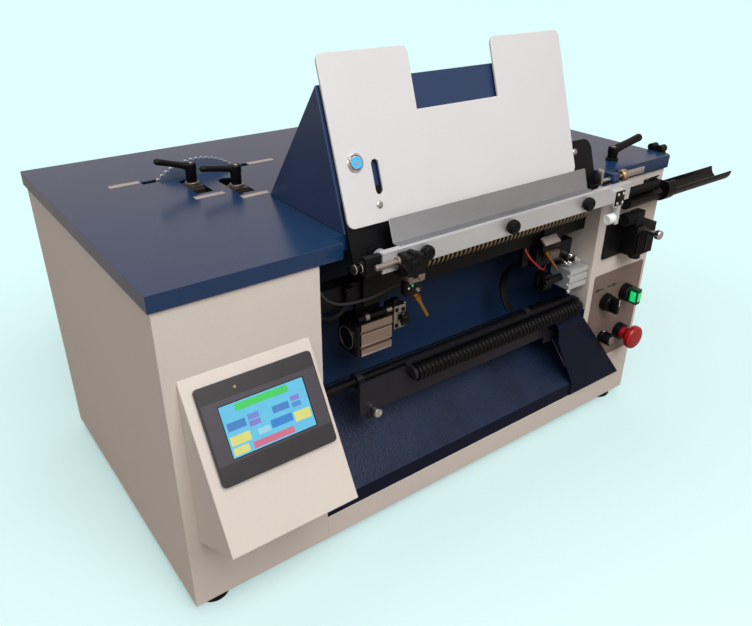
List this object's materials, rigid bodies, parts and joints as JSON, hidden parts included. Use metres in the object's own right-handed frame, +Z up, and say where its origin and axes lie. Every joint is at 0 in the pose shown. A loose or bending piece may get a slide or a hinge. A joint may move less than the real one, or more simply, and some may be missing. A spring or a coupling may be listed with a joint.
{
  "type": "coil inserting machine",
  "caption": "Bench machine that feeds plastic coil into punched books: two housings, lid, leaning backrest, comb carrier, cutter heads, touch console and coil trough.",
  "frame": {"origin": "on the bench plane under the centre of the outline, feet at z = 0", "axes": "+X along the width towards the trough, +Y from the operator to the back, +Z up"},
  "size_m": [0.838, 0.5044, 0.5533],
  "materials": {
    "cream_paint": "satin powder coat, fine texture",
    "navy_paint": "navy hammered powder coat",
    "black_paint": "black satin coat",
    "aluminium": "milled and lightly brushed",
    "steel": "zinc-plated",
    "chrome": "bright plated",
    "brass": "turned",
    "rubber": "black rubber",
    "black_plastic": "moulded matt",
    "red_plastic": "glossy red",
    "green_lens": "lit green lens",
    "blue_lens": "lit blue lens",
    "grey_plate": "satin grey",
    "screen_glass": "lit display behind film",
    "nylon": "white nylon",
    "comb_metal": "dull plated brass",
    "wheel_plate": "pale anodised",
    "device_case": "moulded case"
  },
  "bodies": {
    "machine": {"base_pan": "cream_paint", "left_housing": "cream_paint", "right_housing": "cream_paint", "rear_panel": "cream_paint", "lid": "navy_paint", "hood": "navy_paint", "backrest": "cream_paint", "rest_bracket": "black_paint", "cavity_back": "navy_paint", "tray": "navy_paint", "end_guard": "navy_paint", "hmi_box": "cream_paint", "hmi_bezel": "black_plastic", "touch_screen": "screen_glass", "control_plate": "grey_plate", "feet": "rubber", "switch_bodies": "black_plastic", "cross_bars": "black_paint", "right_head": "black_paint", "right_cylinder": "aluminium", "trough": "black_plastic", "drive_unit": "black_paint", "wheel_stand": "steel", "screws": "steel", "air_hose": "black_plastic", "electrics": "device_case"},
    "estop_button": {"estop_button": "red_plastic"},
    "selector_knob": {"selector_knob": "black_plastic"},
    "lit_switch": {"lit_switch": "green_lens"},
    "speed_knob": {"speed_knob": "black_plastic"},
    "button_cap": {"button_cap": "blue_lens"},
    "carrier": {"carrier_tray": "aluminium", "clamp_bar": "aluminium", "pitch_comb": "comb_metal", "guide_bracket": "aluminium"},
    "bar_knob_left": {"bar_knob_left": "black_plastic"},
    "bar_knob_mid": {"bar_knob_mid": "black_plastic"},
    "bar_knob_right": {"bar_knob_right": "black_plastic"},
    "end_stop": {"stop_block": "black_paint", "stop_rod": "steel"},
    "stop_knob": {"stop_knob": "black_plastic"},
    "nylon_roller": {"nylon_roller": "nylon"},
    "left_head": {"left_head": "black_paint", "left_cylinder": "aluminium"},
    "left_plunger": {"left_plunger": "chrome"},
    "right_plunger": {"right_plunger": "chrome"},
    "cradle": {"roller_cradle": "black_paint"},
    "ribbed_roller": {"ribbed_roller": "rubber"},
    "cradle_knob": {"cradle_knob": "chrome"},
    "drive_knob": {"drive_knob": "chrome"},
    "feed_roller": {"feed_roller": "rubber"},
    "slide_block_1": {"slide_block_1": "steel"},
    "lever_1": {"lever_1": "black_plastic"},
    "slide_block_2": {"slide_block_2": "steel"},
    "lever_2": {"lever_2": "black_plastic"},
    "lever_3": {"lever_3": "black_plastic"},
    "index_wheel": {"index_wheel": "wheel_plate"},
    "star_knob": {"star_knob": "black_plastic"},
    "side_stop": {"side_stop": "brass"}
  },
  "joints": [
    {"name": "estop_press", "type": "slide", "parent": "machine", "child": "estop_button", "axis": [0, 1, 0], "range_m": [0, 0.006]},
    {"name": "selector_turn", "type": "hinge", "parent": "machine", "child": "selector_knob", "pos_m": [0.2255, -0.18002, 0.191], "axis": [0, 1, 0], "range_deg": [-45, 45]},
    {"name": "lit_switch_turn", "type": "hinge", "parent": "machine", "child": "lit_switch", "pos_m": [0.268, -0.18002, 0.195], "axis": [0, 1, 0], "range_deg": [-45, 45]},
    {"name": "speed_turn", "type": "hinge", "parent": "machine", "child": "speed_knob", "pos_m": [0.229, -0.18002, 0.134], "axis": [0, 1, 0], "range_deg": [-135, 135]},
    {"name": "button_press", "type": "slide", "parent": "machine", "child": "button_cap", "axis": [0, 0.9461, -0.3239], "range_m": [0, 0.0025], "stiffness_N_per_m": 400},
    {"name": "carrier_slide", "type": "slide", "parent": "machine", "child": "carrier", "axis": [0, 1, 0], "range_m": [-0.006, 0.0015]},
    {"name": "bar_knob_left_turn", "type": "hinge", "parent": "carrier", "child": "bar_knob_left", "pos_m": [-0.1415, -0.20083, 0.3695], "axis": [0, 1, 0], "range_deg": [-180, 180]},
    {"name": "bar_knob_mid_turn", "type": "hinge", "parent": "carrier", "child": "bar_knob_mid", "pos_m": [-0.0185, -0.20083, 0.3695], "axis": [0, 1, 0], "range_deg": [-180, 180]},
    {"name": "bar_knob_right_turn", "type": "hinge", "parent": "carrier", "child": "bar_knob_right", "pos_m": [0.109, -0.20083, 0.3695], "axis": [0, 1, 0], "range_deg": [-180, 180]},
    {"name": "end_stop_slide", "type": "slide", "parent": "carrier", "child": "end_stop", "axis": [1, 0, 0], "range_m": [-0.021, 0.0015]},
    {"name": "stop_knob_turn", "type": "hinge", "parent": "end_stop", "child": "stop_knob", "pos_m": [-0.167, -0.20883, 0.367], "axis": [0, 1, 0], "range_deg": [-180, 180]},
    {"name": "nylon_spin", "type": "hinge", "parent": "carrier", "child": "nylon_roller", "pos_m": [0.156, -0.19983, 0.34], "axis": [1, 0, 0], "continuous": true},
    {"name": "left_head_slide", "type": "slide", "parent": "machine", "child": "left_head", "axis": [1, 0, 0], "range_m": [-0.012, 0.06]},
    {"name": "left_plunger_slide", "type": "slide", "parent": "left_head", "child": "left_plunger", "axis": [1, 0, 0], "range_m": [0, 0.012]},
    {"name": "right_plunger_slide", "type": "slide", "parent": "machine", "child": "right_plunger", "axis": [1, 0, 0], "range_m": [-0.012, 0]},
    {"name": "cradle_swing", "type": "hinge", "parent": "machine", "child": "cradle", "pos_m": [-0.032, -0.12982, 0.192], "axis": [1, 0, 0], "range_deg": [-10, 0]},
    {"name": "roller_spin", "type": "hinge", "parent": "cradle", "child": "ribbed_roller", "pos_m": [-0.032, -0.16243, 0.198], "axis": [1, 0, 0], "continuous": true},
    {"name": "cradle_knob_turn", "type": "hinge", "parent": "cradle", "child": "cradle_knob", "pos_m": [-0.17, -0.15682, 0.1595], "axis": [0, 1, 0], "range_deg": [-180, 180]},
    {"name": "drive_knob_turn", "type": "hinge", "parent": "machine", "child": "drive_knob", "pos_m": [0.259, -0.20883, 0.298], "axis": [0, 1, 0], "range_deg": [-180, 180]},
    {"name": "feed_roller_spin", "type": "hinge", "parent": "machine", "child": "feed_roller", "pos_m": [0.22, -0.18482, 0.322], "axis": [1, 0, 0], "continuous": true},
    {"name": "slide_1", "type": "slide", "parent": "machine", "child": "slide_block_1", "axis": [0, 1, 0], "range_m": [-0.02, 0.008]},
    {"name": "lever_1_turn", "type": "hinge", "parent": "slide_block_1", "child": "lever_1", "pos_m": [-0.266, 0.08417, 0.404], "axis": [0, 0, 1], "range_deg": [-25, 40]},
    {"name": "slide_2", "type": "slide", "parent": "machine", "child": "slide_block_2", "axis": [0, 1, 0], "range_m": [-0.014, 0.02]},
    {"name": "lever_2_turn", "type": "hinge", "parent": "slide_block_2", "child": "lever_2", "pos_m": [-0.2265, 0.04718, 0.404], "axis": [0, 0, 1], "range_deg": [-10, 80]},
    {"name": "lever_3_turn", "type": "hinge", "parent": "machine", "child": "lever_3", "pos_m": [0.228, -0.13883, 0.399], "axis": [0, 0, 1], "range_deg": [-20, 70]},
    {"name": "index_wheel_turn", "type": "hinge", "parent": "machine", "child": "index_wheel", "pos_m": [-0.244, 0.12018, 0.329], "axis": [0, 1, 0], "continuous": true},
    {"name": "star_knob_turn", "type": "hinge", "parent": "machine", "child": "star_knob", "pos_m": [0.32, -0.14383, 0.381], "axis": [1, 0, 0], "range_deg": [-180, 180]},
    {"name": "side_stop_slide", "type": "slide", "parent": "machine", "child": "side_stop", "axis": [1, 0, 0], "range_m": [0, 0.018]}
  ],
  "couplings": [
    {"joint": "right_plunger_slide", "follows": "left_plunger_slide", "ratio": -1}
  ]
}
